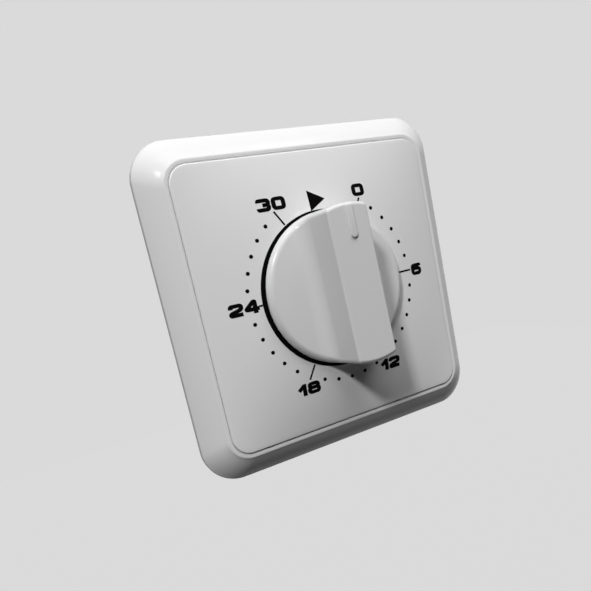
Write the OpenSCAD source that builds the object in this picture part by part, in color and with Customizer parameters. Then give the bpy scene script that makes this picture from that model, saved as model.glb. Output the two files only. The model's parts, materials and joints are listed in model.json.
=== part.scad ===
// Spring-wound thirty minute timer switch for a flush wall box.
// Each module draws in the wall's own frame: x right, y up, z out of the wall, wall plane at z = 0.
// row_frame() turns that into the part's frame: +Z up, front towards -Y.

/* [Cover frame] */
// Outer width and height of the square cover frame
frame_w = 80; // [78:0.5:88]
// Outer corner radius of the cover frame
frame_corner_r = 9.1; // [5:0.1:11]
// Height of the frame's lip above the wall
frame_lip_z = 6.5; // [6:0.1:7]
// Height of the upright outer rim above the wall
frame_rim_z = 1.1; // [0.8:0.1:2]
// Wall thickness of the frame moulding
frame_wall = 1.6; // [1.3:0.1:2]
// Radius of the rounded lip
frame_lip_r = 0.8; // [0.3:0.1:1]

/* [Centre plate] */
// Width and height of the square centre plate
plate_w = 66.3; // [64:0.1:67]
// Corner radius of the centre plate
plate_corner_r = 4.5; // [3:0.1:6]
// Height of the plate's edge above the wall
plate_edge_z = 7; // [6.8:0.1:8]
// Rise of the dome from the plate's edge to its middle
dome_rise = 2.2; // [1.4:0.1:2.4]
// Wall thickness of the plate moulding
plate_wall = 2.0; // [1.6:0.1:2.4]
// Radius of the plate's rounded edge
plate_edge_r = 0.4; // [0.3:0.1:0.8]
// Groove between the plate and the frame
plate_gap = 0.1; // [0.1:0.05:0.4]

/* [Knob] */
// Diameter of the knob at its base
knob_d = 36.5; // [34:0.5:38]
// Draft of the knob's side, in degrees
knob_draft = 2.2; // [1:0.1:5]
// Height of the grip bar's top above the plate's middle
bar_rise = 12.2; // [10:0.1:14]
// Width of the grip bar at its top
bar_w = 10.2; // [9:0.1:12]
// Height of the disc's floor above the knob's base
disc_h = 1.85; // [1.5:0.05:2.4]
// Radius of the disc's rounded rim
knob_rim_r = 1.75; // [0.4:0.05:1.75]
// Radius of the cove between the floor and the grip bar
cove_r = 2; // [1:0.1:3]
// Running gap under the knob
knob_gap = 0.35; // [0.3:0.05:0.6]
// Length of the raised pointer on the bar
pointer_len = 7.1; // [5:0.1:9]
// Width of the raised pointer
pointer_w = 1.9; // [1.2:0.1:2.4]
// Height of the raised pointer
pointer_h = 0.4; // [0.2:0.1:0.6]

/* [Wall fixing] */
// Distance between the two wall screws
screw_spacing = 60; // [58:0.5:62]
// Width of each wall screw slot
slot_w = 4.2; // [3.6:0.1:4.6]
// End to end length of each wall screw slot
slot_len = 7; // [5.5:0.5:8]
// Thickness of the support ring
ring_t = 1.2; // [1:0.1:1.6]
// Thickness of the rear housing's wall
housing_wall = 2.8; // [2.6:0.1:3.2]
// Clear depth between the wall plane and the housing's floor
chamber_depth = 30; // [29:0.5:34]
// Thickness of the housing's floor
floor_t = 2; // [1.5:0.1:3]

/* [Movement] */
// Thickness of the two movement plates
mplate_t = 1.2; // [1:0.1:1.4]
// Gear module of the going train
gear_module = 0.3; // [0.28:0.01:0.31]
// Teeth of the great wheel
great_teeth = 80; // [76:2:80]
// Teeth of the second wheel
second_teeth = 60; // [56:2:60]
// Teeth of the third wheel
third_teeth = 50; // [46:2:50]
// Leaves of each pinion
pinion_leaves = 10; // [10:1:12]
// Thickness of the train's wheels
wheel_t = 1; // [0.8:0.1:1.2]
// Length of each pinion
pinion_h = 2.4; // [2:0.1:2.6]
// Clear gap from one wheel to the next
wheel_step = 1.6; // [1.5:0.1:1.7]
// Diameter of the winding arbor
arbor_d = 6; // [5:0.1:6.4]
// Diameter of the train's arbors
train_arbor_d = 1.6; // [1.4:0.1:2]
// Diameter of the train's pivots
pivot_d = 1; // [0.8:0.1:1.2]
// Teeth of the escape wheel
escape_teeth = 15; // [13:1:17]
// Radius of the escape wheel
escape_r = 5; // [4.6:0.1:5.2]
// Distance from the escape arbor to the pallet arbor
pallet_reach = 7.4; // [7.2:0.1:7.6]
// Radius of the balance ring
balance_r = 4.6; // [4:0.1:4.8]
// Width of the mainspring strip
spring_h = 5; // [4:0.1:5.4]
// Thickness of the mainspring strip
spring_t = 0.4; // [0.3:0.05:0.5]
// Turns of the mainspring
spring_turns = 6; // [4:1:7]
// Outer radius of the mainspring
spring_r = 10.5; // [9:0.1:11]

/* [Switch] */
// Radius of the switch cam
cam_r = 7; // [6.5:0.1:7.5]
// Thickness of the switch cam
cam_t = 3; // [2.6:0.1:3.4]
// Travel of the knob between its stops, in degrees
knob_travel = 330; // [300:5:330]
// Thickness of the contact blades
blade_t = 0.4; // [0.3:0.05:0.5]
// Gap between the open contacts
contact_gap = 0.6; // [0.5:0.05:0.8]
// Width of each terminal block
terminal_w = 7; // [6:0.1:7.4]
// Height of each terminal block
terminal_h = 8; // [7.5:0.1:8.2]
// Diameter of the wire hole in each terminal
wire_d = 3.2; // [2.6:0.1:3.4]

/* [Hidden] */
$fn = 48;

// Clearances
eps = 0.01;
run_fit = 0.04;
seat_fit = 0.02;
loose_fit = 0.15;
stop_gap = 0.2;

// Cover frame and centre plate
plate_half = plate_w / 2;
well_half = plate_half + plate_gap;
frame_half = frame_w / 2;
// The frame's border holds a leg, a rim and the room between them, so a narrow border thins both
frame_border = frame_half - well_half;
border_wall = min(frame_wall, frame_border * 0.36);
frame_leg_half = well_half + border_wall;
slot_edge = 1.5;
ring_half = max(frame_leg_half + border_wall * 0.4, (screw_spacing + slot_len) / 2 + slot_edge);
ring_corner_r = plate_corner_r + plate_gap + border_wall;
dome_power = 2.8;
dome_top_z = plate_edge_z + dome_rise;

// Threaded bush, its nut and the seat that the nut holds
arbor_r = arbor_d / 2;
bush_wall = 2;
bush_r = arbor_r + bush_wall;
flange_w = 2;
flange_r = bush_r + flange_w;
flange_h = 3;
nut_h = 2.4;
nut_wall = 3.1;
nut_r = bush_r + nut_wall;
seat_top_z = flange_h + plate_wall;
seat_room = 1.1;
seat_r = nut_r + seat_room;
bush_spare = 0.9;
bush_top_z = seat_top_z + nut_h + bush_spare;

// Knob
knob_r = knob_d / 2;
dome_at_knob = dome_top_z - dome_rise * pow(knob_r / plate_half, dome_power);
knob_base_z = dome_at_knob + knob_gap;
knob_relief = dome_top_z + knob_gap - knob_base_z;
knob_rim_w = 1.3;
bar_top_z = dome_top_z + bar_rise;
bar_set_back = 0.1;
bar_end_r = knob_r - bar_set_back;
knob_top_r = bar_end_r - (bar_top_z - knob_base_z) * tan(knob_draft);
bar_half = bar_w / 2;
bar_draft = 0.3;
bar_wall = 1.7;
bar_roof = 1.8;
disc_top_z = knob_base_z + disc_h;
rim_land = 0.1;
rim_round_r = min(knob_rim_r, disc_h - rim_land);
cove_bite = 0.06;
cove_root = 0.5;
cove_run_out = 0.2;
hub_wall = 1.6;
hub_r = arbor_r + hub_wall;
flat_depth = 0.8;
clip_t = 0.6;
clip_w = 2;
clip_len = 6;
tip_room = 1.4;
arbor_tip_z = bar_top_z - bar_roof - tip_room;
bore_room = 0.4;
flat_start = 0.4;
bar_end_wall = 2.7;
pointer_end = 0.7;

// Going train: pitch radii, centres and levels
function pitch_r(teeth) = gear_module * teeth / 2;
function polar(r, a) = [r * cos(a), r * sin(a)];
pinion_r = pitch_r(pinion_leaves);
second_bearing = 150;
third_bearing = 40;
escape_bearing = 3;
pallet_bearing = -34;
second_at = polar(pitch_r(great_teeth) + pinion_r, second_bearing);
third_at = second_at + polar(pitch_r(second_teeth) + pinion_r, third_bearing);
escape_at = third_at + polar(pitch_r(third_teeth) + pinion_r, escape_bearing);
pallet_at = escape_at + polar(pallet_reach, pallet_bearing);
tooth_tip = 0.62;
tooth_root = 1.05;
tooth_fill = 0.39;
tip_fill = 0.16;
root_fill = 0.44;
train_reach = pitch_r(great_teeth) + pinion_r + pitch_r(second_teeth) + tooth_tip * gear_module;

// The movement fills the chamber: its heights are given for a chamber of drawn_depth and follow the real one
drawn_depth = 30;
function deep(h) = h * chamber_depth / drawn_depth;
spring_gap = 0.8;
ratchet_gap = 0.6;
mplate_h = deep(mplate_t);
wheel_h = deep(wheel_t);
pinion_len = deep(pinion_h);
step_h = deep(wheel_step);
spring_w = deep(spring_h);
cam_h = deep(cam_t);
great_h = 1.2 * wheel_h;
ratchet_h = wheel_h;
front_in_z = -mplate_h;
spring_top_z = front_in_z - deep(spring_gap);
great_top_z = spring_top_z - spring_w - deep(ratchet_gap) - ratchet_h;
second_top_z = great_top_z - great_h - step_h;
third_top_z = second_top_z - wheel_h - step_h;
escape_top_z = third_top_z - wheel_h - step_h;
back_in_z = escape_top_z - wheel_h - step_h;
back_out_z = back_in_z - mplate_h;
great_mid_z = great_top_z - great_h / 2;
second_mid_z = second_top_z - wheel_h / 2;
third_mid_z = third_top_z - wheel_h / 2;
pivot_r = pivot_d / 2;
train_arbor_r = train_arbor_d / 2;

// Housing and the bosses that take the ring's screws
train_room = 1;
chamber_r = train_reach + train_room;
housing_r = chamber_r + housing_wall;
pocket_r = chamber_r + housing_wall * 0.45;
mplate_r = pocket_r - loose_fit;
back_room = 0.8;
back_plate_r = chamber_r - back_room;
boss_r = 2.3;
boss_inset = 0.9;
boss_at = chamber_r - boss_inset;
boss_depth = 10;
rear_z = -chamber_depth - floor_t;
rear_chamfer = 1.2;
funnel_flare = 1.2;
funnel_h = floor_t * 0.6;
dish_r = 8;
dish_h = floor_t * 0.3;
rib_count = 12;
rib_w = 1.6;
rib_h = 0.5;
rib_top_z = -boss_depth;
ring_screw_r = 1.25;
ring_screw_len = 7;
ring_head_r = 2.3;
ring_head_h = 1.5;
ring_slot_w = 0.6;
ring_slot_h = 0.7;
ring_land = 1;
ring_hole_r = boss_at - ring_head_r - ring_land;

// Pillars
pillar_r = 1.5;
tenon_r = 0.9;
plate_screw_r = 0.7;
plate_head_r = 1.5;
plate_head_t = 0.8;
plate_screw_reach = 3;
plate_tap_reach = 4;
plate_head_h = deep(plate_head_t);
plate_screw_len = deep(plate_screw_reach);
plate_tap_len = deep(plate_tap_reach);
driver_slot_w = 0.4;
driver_slot_h = plate_head_h / 2;
tenon_shy = 0.1;
pillar_inset = 2.4;
pillar_ring = chamber_r - pillar_inset;
pillar_at = [for (a = [45, 207, 270, 333]) polar(pillar_ring, a)];

// Cam, stop and contacts
cam_gap = 0.4;
stop_t = 2;
circlip_t = 0.6;
circlip_w = 1;
groove_depth = 0.6;
arbor_tail = 0.8;
stop_layer = deep(stop_t);
clip_ring_t = deep(circlip_t);
cam_top_z = back_out_z - plate_head_h - deep(cam_gap);
cam_end_z = cam_top_z - cam_h;
stop_end_z = cam_end_z - stop_layer;
arbor_end_z = stop_end_z - clip_ring_t - deep(arbor_tail);
stop_pin_r = 0.75;
pin_room = 0.7;
stop_pin_ring = cam_r + stop_pin_r + pin_room;
stop_lug_r = stop_pin_ring + stop_pin_r;
stop_pin_angle = 120;
pin_half_angle = asin((stop_pin_r + stop_gap) / stop_pin_ring);
lug_angle = 360 - knob_travel - 2 * pin_half_angle;
cam_notch = 1.2;
notch_room = 0.6;
cam_hub_wall = 2;
cam_hub_r = arbor_r + cam_hub_wall;

blade_shy = 0.2;
blade_inset = deep(blade_shy);
blade_h = cam_h - 2 * blade_inset;
hump_h = 1;
hump_half = 2;
blade_top_y = -cam_r - loose_fit - hump_h;
blade_low_y = blade_top_y - blade_t;
blade_tip_x = 6.5;
rivet_r = 1.1;
rivet_h = 0.5;
rivet_x = 5;
fixed_top_y = blade_low_y - 2 * rivet_h - contact_gap;
terminal_x = 12;
terminal_top_z = cam_end_z + 0.2 * cam_h;
floor_z = -chamber_depth;
terminal_mid_y = blade_low_y - terminal_h / 2;
terminal_low_y = blade_low_y - terminal_h;
terminal_in_x = terminal_x - terminal_w / 2;
terminal_len = terminal_top_z - floor_z;
clamp_r = 0.25 * terminal_len;
clamp_head_r = 0.38 * terminal_len;
clamp_head_h = 1.6;
clamp_slot_w = 0.7;
clamp_slot_h = 0.8;
clamp_room = 0.1 * terminal_len;
clamp_nose = 0.2;
clamp_z = (terminal_top_z + floor_z) / 2;
wire_r = wire_d / 2;
wire_room = 0.5;
wire_stop = 0.22 * terminal_len;
tab_len = terminal_h / 2;
rivet_land = 0.6;
fixed_tip_x = rivet_x - rivet_r - rivet_land;

ivory = [0.86, 0.86, 0.85];
brass = [0.80, 0.66, 0.34];
steel = [0.66, 0.67, 0.69];
copper = [0.78, 0.50, 0.32];
moulding = [0.18, 0.18, 0.19];

module row_frame() { rotate([90, 0, 0]) children(); }

module at(p, z = 0) { translate([p[0], p[1], z]) children(); }

module disc(r, top, h) { translate([0, 0, top - h]) cylinder(r = r, h = h); }

// Lofted mouldings: rings round the middle, each a rounded square of a half width and a corner radius
corner_span = 11;
corner_steps = 6;
side_angles = [0, 12, 24, 34];
corner_angles = [for (i = [0 : corner_steps]) 45 - corner_span / 2 + corner_span * i / corner_steps];
quarter_angles = concat(side_angles, corner_angles, [for (i = [3 : -1 : 1]) 90 - side_angles[i]]);
ring_angles = [for (q = [0 : 3], a = quarter_angles) q * 90 + a];
ring_count = len(ring_angles);

// Distance from the middle to a rounded square's edge along an angle
function fold(a) = let (m = a % 90) min(m, 90 - m);
function edge_at(half, r, a) = let (f = fold(a), c = half - r, along = c * (cos(f) + sin(f)))
    half * tan(f) <= c ? half / cos(f) : along + sqrt(pow(along, 2) - 2 * pow(c, 2) + pow(r, 2));
function ring_xy(half, r) = [for (a = ring_angles) polar(edge_at(half, r, a), a)];
function flat_ring(half, r, z) = [for (p = ring_xy(half, r)) [p[0], p[1], z]];
function dome_z(p, drop) = plate_edge_z - drop + dome_rise
    * (1 - pow(min(1, abs(p[0]) / plate_half), dome_power))
    * (1 - pow(min(1, abs(p[1]) / plate_half), dome_power));
function dome_ring(half, r, drop) = [for (p = ring_xy(half, r)) [p[0], p[1], dome_z(p, drop)]];

// Closes a list of rings, each joined to the next and the last to the first, into one solid
module ring_loft(rings) {
    count = len(rings);
    points = [for (ring = rings, p = ring) p];
    faces = [for (k = [0 : count - 1], i = [0 : ring_count - 1])
        let (a = k * ring_count + i, b = k * ring_count + (i + 1) % ring_count,
            c = ((k + 1) % count) * ring_count + (i + 1) % ring_count,
            d = ((k + 1) % count) * ring_count + i)
        each [[a, d, b], [b, d, c]]];
    polyhedron(points, faces);
}

module cover_frame() {
    lip_out = well_half + 2 * frame_lip_r;
    slope = (frame_lip_z - frame_rim_z) / (frame_half - lip_out);
    leg_r = plate_corner_r + plate_gap;
    under_z = frame_lip_z - border_wall * 1.3;
    rim_in = frame_half - border_wall;
    rim_round = 0.3;
    rim_lean = 0.1;
    lip_inset = frame_lip_r * 0.3;
    under_low_z = max(rim_round, under_z - slope * (rim_in - frame_leg_half));
    rings = concat(
        [flat_ring(frame_half, frame_corner_r, 0),
         flat_ring(frame_half, frame_corner_r, frame_rim_z - rim_round),
         flat_ring(frame_half - rim_lean, frame_corner_r, frame_rim_z)],
        [for (t = [0.25, 0.5, 0.75])
            flat_ring(frame_half + (lip_out - frame_half) * t, frame_corner_r + (leg_r - frame_corner_r) * t,
                frame_rim_z + (frame_lip_z - lip_inset - frame_rim_z) * t)],
        [for (a = [40, 65, 90, 120, 150, 180])
            let (out = frame_lip_r * (1 + cos(a)))
            flat_ring(well_half + out, leg_r + out, frame_lip_z - frame_lip_r * (1 - sin(a)))],
        [flat_ring(well_half, leg_r, ring_t),
         flat_ring(frame_leg_half, leg_r + border_wall, ring_t),
         flat_ring(frame_leg_half, leg_r + border_wall, under_z),
         flat_ring(rim_in, frame_corner_r - border_wall, under_low_z),
         flat_ring(rim_in, frame_corner_r - border_wall, 0)]);
    row_frame() color(ivory) ring_loft(rings);
}

module centre_plate() {
    skirt_in = plate_half - plate_wall;
    skirt_in_r = plate_corner_r - plate_wall * 0.6;
    well_out = seat_r + plate_wall * 0.8;
    span = plate_half - plate_edge_r;
    dome_steps = [0, 0.12, 0.28, 0.46, 0.64, 0.82, 1];
    under_steps = [1, 0.7, 0.35, 0];
    rings = concat(
        [flat_ring(plate_half, plate_corner_r, ring_t)],
        [for (a = [0, 30, 60])
            flat_ring(span + plate_edge_r * cos(a), plate_corner_r - plate_edge_r * (1 - cos(a)),
                plate_edge_z - plate_edge_r * (1 - sin(a)))],
        [for (t = dome_steps)
            dome_ring(span + (seat_r - span) * t, plate_corner_r + (seat_r - plate_corner_r) * t, 0)],
        [flat_ring(seat_r, seat_r, seat_top_z),
         flat_ring(bush_r + loose_fit, bush_r + loose_fit, seat_top_z),
         flat_ring(bush_r + loose_fit, bush_r + loose_fit, flange_h),
         flat_ring(well_out, well_out, flange_h)],
        [for (t = under_steps)
            dome_ring(skirt_in + (well_out - skirt_in) * t, skirt_in_r + (well_out - skirt_in_r) * t,
                plate_wall)],
        [flat_ring(skirt_in, skirt_in_r, ring_t)]);
    row_frame() color(ivory) ring_loft(rings);
}

// Disc of the knob with its rounded rim
module knob_disc() {
    rim_steps = 6;
    rim = [for (i = [0 : rim_steps]) let (a = 90 * i / rim_steps)
        [knob_r - rim_round_r * (1 - cos(a)), disc_top_z - rim_round_r * (1 - sin(a))]];
    rotate_extrude($fn = 96)
        polygon(concat([[0, knob_base_z], [knob_r, knob_base_z]], rim, [[0, disc_top_z]]));
}

// Section of the grip bar between its drafted walls
module bar_section() {
    foot = bar_half + bar_draft;
    polygon([[-foot, knob_base_z], [foot, knob_base_z], [foot, disc_top_z],
        [bar_half, bar_top_z], [-bar_half, bar_top_z], [-foot, disc_top_z]]);
}

// Section of the cove on one side of the bar, let a little into the floor and the bar's wall
module cove_section() {
    cove_from = bar_half + bar_draft + cove_r - cove_bite;
    cove_steps = 6;
    cove = [for (i = [0 : cove_steps]) let (a = 270 - 90 * i / cove_steps)
        [cove_from + cove_r * cos(a), disc_top_z - cove_bite + cove_r * (1 + sin(a))]];
    low_z = disc_top_z - cove_root;
    polygon(concat([[0, low_z], [cove_from, low_z]], cove, [[0, disc_top_z - cove_bite + cove_r]]));
}

// Grip bar across the knob, flush with the rim, and the coves that run out short of the rim
module grip_bar() {
    cove_end_r = knob_r - rim_round_r - cove_run_out;
    low_z = disc_top_z - cove_root;
    intersection() {
        translate([0, 0, knob_base_z])
            cylinder(r1 = bar_end_r, r2 = knob_top_r, h = bar_top_z - knob_base_z, $fn = 96);
        rotate([90, 0, 0]) linear_extrude(2 * knob_d, center = true) bar_section();
    }
    for (s = [0, 1]) mirror([s, 0, 0]) intersection() {
        rotate_extrude($fn = 96) polygon([[0, low_z], [cove_end_r, low_z], [cove_end_r, disc_top_z],
            [cove_end_r - cove_r, disc_top_z + cove_r], [0, disc_top_z + cove_r]]);
        rotate([90, 0, 0]) linear_extrude(2 * knob_d, center = true) cove_section();
    }
}

module d_shape(r, flat) {
    intersection() {
        circle(r);
        translate([-2 * r, -2 * r]) square([2 * r + flat, 4 * r]);
    }
}

module rotary_knob() {
    inner = bar_half - bar_wall;
    room_len = 2 * (knob_top_r - bar_end_wall);
    room_top_z = bar_top_z - bar_roof;
    row_frame() color(ivory) difference() {
        union() {
            difference() {
                union() {
                    knob_disc();
                    grip_bar();
                }
                disc(knob_r - knob_rim_w, knob_base_z + knob_relief, knob_relief + eps);
                translate([-inner, -room_len / 2, knob_base_z])
                    cube([2 * inner, room_len, room_top_z - knob_base_z]);
            }
            disc(hub_r, room_top_z + eps, room_top_z - knob_base_z - knob_relief);
            pointer_rib();
        }
        translate([0, 0, knob_base_z - eps]) linear_extrude(arbor_tip_z + bore_room - knob_base_z)
            d_shape(arbor_r + seat_fit, arbor_r - flat_depth + clip_t);
    }
}

module pointer_rib() {
    end_r = pointer_w / 2;
    end_y = knob_top_r - pointer_end - pointer_len + end_r;
    translate([0, end_y, bar_top_z - eps]) linear_extrude(pointer_h + eps) {
        translate([-end_r, 0]) square([pointer_w, pointer_len - end_r]);
        circle(end_r);
    }
}

module knob_clip() {
    row_frame() color(steel) translate([arbor_r - flat_depth, -clip_w / 2, arbor_tip_z - clip_len])
        cube([clip_t, clip_w, clip_len]);
}

module plate_nut() {
    row_frame() color(brass) translate([0, 0, seat_top_z]) linear_extrude(nut_h) difference() {
        circle(nut_r, $fn = 6);
        circle(bush_r + seat_fit);
    }
}

module slot_2d(length, width) {
    square([length - width, width], center = true);
    for (s = [-1, 1]) translate([s * (length - width) / 2, 0]) circle(width / 2);
}

module rounded_square(half, r) {
    square([2 * half, 2 * (half - r)], center = true);
    square([2 * (half - r), 2 * half], center = true);
    for (x = [-1, 1], y = [-1, 1]) translate([x * (half - r), y * (half - r)]) circle(r);
}

module support_ring() {
    row_frame() color(steel) linear_extrude(ring_t) difference() {
        rounded_square(ring_half, ring_corner_r);
        circle(ring_hole_r, $fn = 96);
        for (s = [-1, 1]) {
            translate([s * screw_spacing / 2, 0]) slot_2d(slot_len, slot_w);
            translate([s * boss_at, 0]) circle(ring_screw_r + loose_fit);
        }
    }
}

module ring_screws() {
    row_frame() color(steel) for (s = [-1, 1]) translate([s * boss_at, 0, 0]) difference() {
        union() {
            disc(ring_head_r, ring_t + ring_head_h, ring_head_h);
            disc(ring_screw_r, ring_t + eps, ring_screw_len + eps);
        }
        translate([-ring_head_r, -ring_slot_w / 2, ring_t + ring_head_h - ring_slot_h])
            cube([2 * ring_head_r, ring_slot_w, ring_slot_h + eps]);
    }
}

module housing() {
    row_frame() color(moulding) difference() {
        union() {
            rotate_extrude() polygon([[0, rear_z], [housing_r - rear_chamfer, rear_z],
                [housing_r, rear_z + rear_chamfer], [housing_r, 0], [chamber_r, 0], [chamber_r, floor_z],
                [0, floor_z]]);
            housing_ribs();
            intersection() {
                for (s = [-1, 1]) translate([s * boss_at, 0, 0]) disc(boss_r, 0, boss_depth);
                disc(housing_r - eps, 0, boss_depth);
            }
        }
        difference() {
            disc(pocket_r, eps, mplate_h + eps);
            for (s = [-1, 1]) translate([s * boss_at, 0, 0]) disc(boss_r, mplate_h, 3 * mplate_h);
        }
        for (s = [-1, 1]) {
            translate([s * boss_at, 0, 0]) disc(ring_screw_r + seat_fit, eps, ring_screw_len);
            translate([s * terminal_x, terminal_mid_y, 0]) wire_entry();
            translate([s * terminal_x, terminal_low_y, clamp_z]) rotate([90, 0, 0])
                cylinder(r = clamp_head_r + clamp_room, h = housing_r);
        }
        translate([0, 0, rear_z - eps]) cylinder(r1 = dish_r, r2 = dish_r - dish_h, h = dish_h + eps);
    }
}

// Wire hole through the housing's floor with a flared mouth at the rear
module wire_entry() {
    hole_r = wire_r + wire_room;
    disc(hole_r, floor_z + eps, floor_t + 2 * eps);
    translate([0, 0, rear_z - eps]) cylinder(r1 = hole_r + funnel_flare, r2 = hole_r, h = funnel_h + eps);
}

// Low ribs along the housing's outside
module housing_ribs() {
    low_z = rear_z + 2 * rear_chamfer;
    for (i = [0 : rib_count - 1]) rotate((i + 0.5) * 360 / rib_count)
        translate([housing_r - rib_h, -rib_w / 2, low_z]) cube([2 * rib_h, rib_w, rib_top_z - low_z]);
}

module movement_plate(r, top) {
    translate([0, 0, top - mplate_h]) linear_extrude(mplate_h) difference() {
        circle(r, $fn = 96);
        for (s = [-1, 1]) translate([s * boss_at, 0]) circle(boss_r + loose_fit);
        for (p = [second_at, third_at, escape_at, pallet_at]) translate(p) circle(pivot_r + run_fit);
        for (p = pillar_at) translate(p) circle(tenon_r + seat_fit);
        children();
    }
}

module front_plate() {
    row_frame() color(brass) movement_plate(mplate_r, 0) {
        circle(bush_r + seat_fit);
        translate(post_at()) circle(tenon_r + seat_fit);
    }
}

module back_plate() {
    row_frame() color(brass) movement_plate(back_plate_r, back_in_z) {
        circle(arbor_r + run_fit);
        translate(polar(stop_pin_ring, stop_pin_angle)) circle(stop_pin_r + seat_fit);
    }
}

module bush() {
    row_frame() color(brass) difference() {
        union() {
            disc(bush_r, bush_top_z, bush_top_z + mplate_h);
            disc(flange_r, flange_h, flange_h);
        }
        disc(arbor_r + run_fit, bush_top_z + eps, bush_top_z + mplate_h + 2 * eps);
    }
}

module pillars() {
    row_frame() color(steel) for (p = pillar_at) at(p) difference() {
        union() {
            disc(pillar_r, front_in_z, front_in_z - back_in_z);
            disc(tenon_r, -tenon_shy, mplate_h - tenon_shy + eps);
            disc(tenon_r, back_in_z + eps, mplate_h + eps);
        }
        disc(plate_screw_r + seat_fit, back_in_z + plate_tap_len, mplate_h + plate_tap_len + eps);
    }
}

module plate_screws() {
    row_frame() color(steel) for (p = pillar_at) at(p) difference() {
        union() {
            disc(plate_head_r, back_out_z, plate_head_h);
            disc(plate_screw_r, back_in_z + plate_screw_len, mplate_h + plate_screw_len + eps);
        }
        translate([-plate_head_r, -driver_slot_w / 2, back_out_z - plate_head_h - eps])
            cube([2 * plate_head_r, driver_slot_w, driver_slot_h]);
    }
}

module winding_arbor() {
    row_frame() color(steel) difference() {
        disc(arbor_r, arbor_tip_z, arbor_tip_z - arbor_end_z);
        translate([arbor_r - flat_depth, -arbor_r, bush_top_z + flat_start])
            cube([arbor_r, arbor_d, bar_top_z]);
        translate([0, 0, stop_end_z - clip_ring_t]) difference() {
            cylinder(r = arbor_d, h = clip_ring_t);
            cylinder(r = arbor_r - groove_depth, h = clip_ring_t);
        }
    }
}

// Mainspring: a spiral strip from just clear of the arbor out to its post
spring_clear = 0.25;
spring_in_r = arbor_r + spring_clear;
function spring_at(t) = spring_in_r + (spring_r - spring_in_r) * t;
hook_r = tenon_r + loose_fit;
function post_at() = [0, -(spring_r + spring_t + hook_r)];
module mainspring() {
    steps = spring_turns * 24;
    turn = 360 * spring_turns;
    hook_steps = 9;
    shares = [for (i = [0 : steps]) i / steps];
    near = [for (t = shares) polar(spring_at(t), 270 - turn * (1 - t))];
    far = [for (t = shares) polar(spring_at(1 - t) + spring_t, 270 - turn * t)];
    hook_out = [for (i = [1 : hook_steps]) post_at() + polar(hook_r + spring_t, 90 - 30 * i)];
    hook_in = [for (i = [hook_steps : -1 : 1]) post_at() + polar(hook_r, 90 - 30 * i)];
    row_frame() color(steel) translate([0, 0, spring_top_z - spring_w]) linear_extrude(spring_w)
        polygon(concat(near, hook_out, hook_in, far));
}

module spring_post() {
    row_frame() color(steel) at(post_at()) disc(tenon_r, -tenon_shy, spring_w - spring_top_z + tenon_shy);
}

// Ratchet between the arbor and the great wheel, with its click
ratchet_teeth = 14;
ratchet_r = 5.4;
ratchet_root_r = 4.6;
click_pin_r = 0.7;
click_boss_r = 1.3;
click_nose_r = 0.4;
click_clear = 0.1;
click_ring = 8.4;
bow_t = 0.3;
click_pin_at = polar(click_ring, 62);
module ratchet_wheel() {
    pitch = 360 / ratchet_teeth;
    points = [for (i = [0 : ratchet_teeth - 1])
        each [polar(ratchet_root_r, i * pitch), polar(ratchet_r, i * pitch + 0.5)]];
    row_frame() color(steel) translate([0, 0, great_top_z]) linear_extrude(ratchet_h) difference() {
        polygon(points);
        circle(arbor_r + seat_fit);
    }
}

module click() {
    nose = polar(ratchet_r + click_nose_r + click_clear, 20);
    row_frame() color(steel) translate([0, 0, great_top_z]) linear_extrude(ratchet_h) difference() {
        hull() {
            translate(click_pin_at) circle(click_boss_r);
            translate(nose) circle(click_nose_r);
        }
        translate(click_pin_at) circle(click_pin_r + seat_fit);
    }
}

// Bow spring that keeps the click down, footed on the great wheel
module click_spring() {
    bow_in = norm(click_pin_at) + click_boss_r + loose_fit;
    bow_h = ratchet_h * 0.8;
    foot_angle = -6;
    bow_angle = 75;
    row_frame() color(steel) translate([0, 0, great_top_z]) {
        rotate(foot_angle) rotate_extrude(angle = bow_angle) translate([bow_in, 0]) square([bow_t, bow_h]);
        at(polar(bow_in, foot_angle)) cylinder(r = 2 * bow_t, h = bow_h);
    }
}

// Outline of a wheel's teeth, thinned for running at any phase
function tooth_points(teeth, phase) = let (pitch = 360 / teeth, r = pitch_r(teeth),
        low = r - tooth_root * gear_module, high = r + tooth_tip * gear_module,
        wide = root_fill * pitch / 2, mid = tooth_fill * pitch / 2, tip = tip_fill * pitch / 2)
    [for (i = [0 : teeth - 1]) let (a = phase + i * pitch)
        each [polar(low, a - wide), polar(r, a - mid), polar(high, a - tip),
            polar(high, a + tip), polar(r, a + mid), polar(low, a + wide)]];

// Phase of a follower whose gap meets the driver's tooth along a bearing
function mesh_phase(driver_phase, driver_teeth, teeth, bearing) =
    let (pitch = 360 / driver_teeth, ahead = bearing - driver_phase,
        behind = ahead - pitch * floor(ahead / pitch))
    bearing + 180 + behind * driver_teeth / teeth + 180 / teeth;
second_phase = mesh_phase(0, great_teeth, pinion_leaves, second_bearing);
third_phase = mesh_phase(0, second_teeth, pinion_leaves, third_bearing);
escape_phase = mesh_phase(0, third_teeth, pinion_leaves, escape_bearing);

module crossed_wheel(teeth, arms, bore_r) {
    arm_w = 1.1;
    eye_wall = 1.3;
    rim_r = pitch_r(teeth) - tooth_root * gear_module - arm_w;
    eye_r = bore_r + eye_wall;
    difference() {
        polygon(tooth_points(teeth, 0));
        difference() {
            circle(rim_r);
            circle(eye_r);
            for (i = [0 : arms - 1]) rotate(i * 360 / arms) translate([0, -arm_w / 2])
                square([rim_r + arm_w, arm_w]);
        }
        circle(bore_r);
    }
}

module great_wheel() {
    row_frame() color(brass) {
        translate([0, 0, great_top_z - great_h]) linear_extrude(great_h) difference() {
            polygon(tooth_points(great_teeth, 0));
            circle(arbor_r + seat_fit);
        }
        at(click_pin_at) disc(click_pin_r, great_top_z + ratchet_h, ratchet_h + eps);
    }
}

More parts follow.
